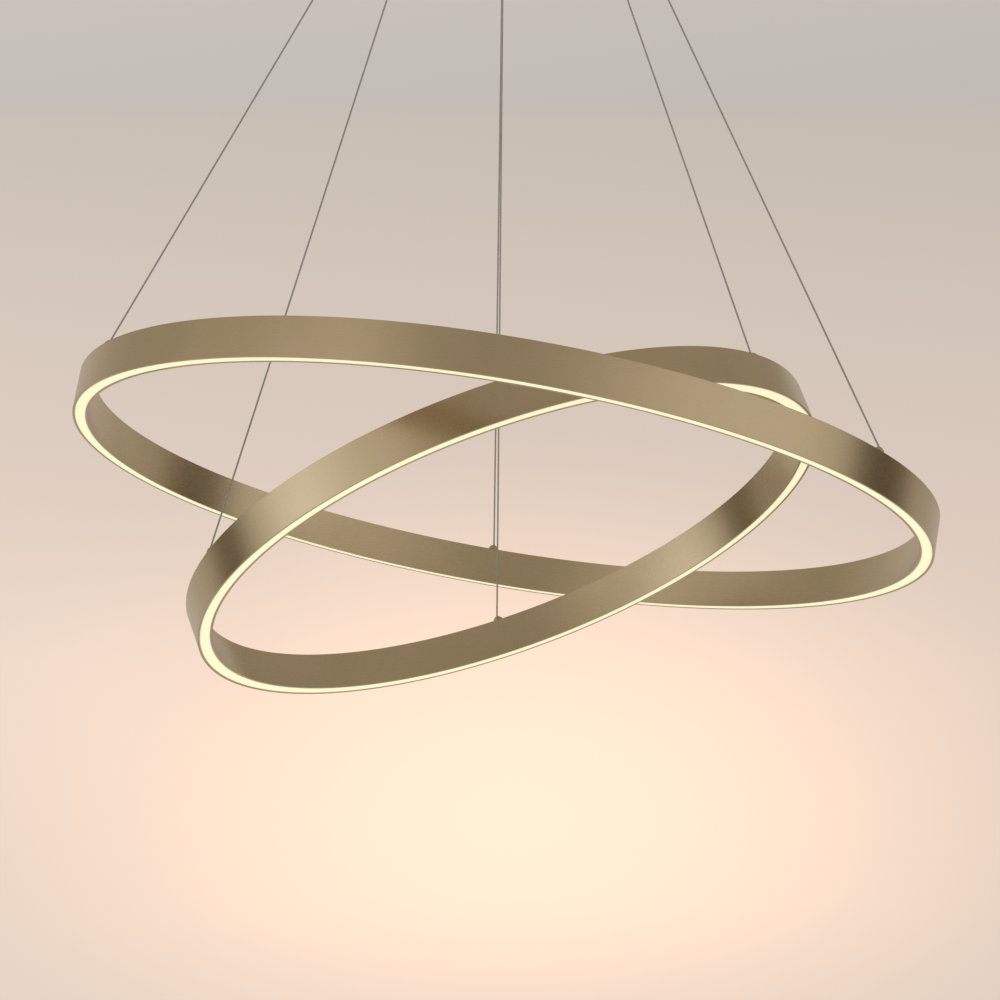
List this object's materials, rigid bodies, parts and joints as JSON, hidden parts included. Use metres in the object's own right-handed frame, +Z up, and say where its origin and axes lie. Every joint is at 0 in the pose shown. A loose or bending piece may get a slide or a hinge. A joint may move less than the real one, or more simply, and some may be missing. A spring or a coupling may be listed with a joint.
{
  "type": "led ring chandelier",
  "caption": "Ring chandelier: nested thin metal rings with a downward opal LED strip, each hung tilted on steel cables from a round ceiling canopy",
  "frame": {"origin": "on the ceiling plane, at the middle of the ceiling bracket, between its two slots", "axes": "+Z up towards the ceiling, so the light hangs below z = 0; +X to the picture's right, along the bracket; +Y away from the viewer"},
  "size_m": [0.7948, 0.8, 0.9231],
  "materials": {
    "champagne_brass": "satin, champagne brass anodised",
    "brass_lacquer": "satin, champagne brass lacquer",
    "brass": "satin",
    "opal": "opal, lit from inside",
    "led_board": "white board with a phosphor line",
    "zinc_steel": "zinc plated",
    "cable_steel": "fine stranded steel, clear coated",
    "driver_case": "matt white"
  },
  "bodies": {
    "canopy": {"ceiling_bracket": "zinc_steel", "canopy_cover": "brass_lacquer", "canopy_side_screws": "brass", "led_driver": "driver_case", "driver_nuts": "zinc_steel", "terminal_block": "driver_case", "gripper_bodies": "brass", "gripper_nuts": "zinc_steel", "large_cable_left": "cable_steel", "large_cable_right": "cable_steel", "large_cable_back": "cable_steel", "small_cable_left": "cable_steel", "small_cable_right": "cable_steel", "small_cable_back": "cable_steel"},
    "large_plunger_left": {"large_plunger_left": "brass"},
    "large_plunger_right": {"large_plunger_right": "brass"},
    "large_plunger_back": {"large_plunger_back": "brass"},
    "small_plunger_left": {"small_plunger_left": "brass"},
    "small_plunger_right": {"small_plunger_right": "brass"},
    "small_plunger_back": {"small_plunger_back": "brass"},
    "large_ring": {"large_ring_channel": "champagne_brass", "large_ring_diffuser": "opal", "large_led_boards": "led_board", "large_cable_anchors": "brass", "large_anchor_nuts": "zinc_steel", "large_cable_stops": "zinc_steel"},
    "small_ring": {"small_ring_channel": "champagne_brass", "small_ring_diffuser": "opal", "small_led_boards": "led_board", "small_cable_anchors": "brass", "small_anchor_nuts": "zinc_steel", "small_cable_stops": "zinc_steel"}
  },
  "joints": [
    {"name": "large_ring_height", "type": "slide", "parent": "canopy", "child": "large_ring", "axis": [0, 0, 1], "range_m": [-0.03, 0.15], "deforming": ["large_cable_left", "large_cable_right", "large_cable_back"]},
    {"name": "small_ring_height", "type": "slide", "parent": "canopy", "child": "small_ring", "axis": [0, 0, 1], "range_m": [-0.3, 0.03], "deforming": ["small_cable_left", "small_cable_right", "small_cable_back"]},
    {"name": "large_plunger_left_press", "type": "slide", "parent": "canopy", "child": "large_plunger_left", "axis": [0, 0, 1], "range_m": [0, 0.002], "stiffness_N_per_m": 400, "springref_m": -0.001},
    {"name": "large_plunger_right_press", "type": "slide", "parent": "canopy", "child": "large_plunger_right", "axis": [0, 0, 1], "range_m": [0, 0.002], "stiffness_N_per_m": 400, "springref_m": -0.001},
    {"name": "large_plunger_back_press", "type": "slide", "parent": "canopy", "child": "large_plunger_back", "axis": [0, 0, 1], "range_m": [0, 0.002], "stiffness_N_per_m": 400, "springref_m": -0.001},
    {"name": "small_plunger_left_press", "type": "slide", "parent": "canopy", "child": "small_plunger_left", "axis": [0, 0, 1], "range_m": [0, 0.002], "stiffness_N_per_m": 400, "springref_m": -0.001},
    {"name": "small_plunger_right_press", "type": "slide", "parent": "canopy", "child": "small_plunger_right", "axis": [0, 0, 1], "range_m": [0, 0.002], "stiffness_N_per_m": 400, "springref_m": -0.001},
    {"name": "small_plunger_back_press", "type": "slide", "parent": "canopy", "child": "small_plunger_back", "axis": [0, 0, 1], "range_m": [0, 0.002], "stiffness_N_per_m": 400, "springref_m": -0.001}
  ]
}
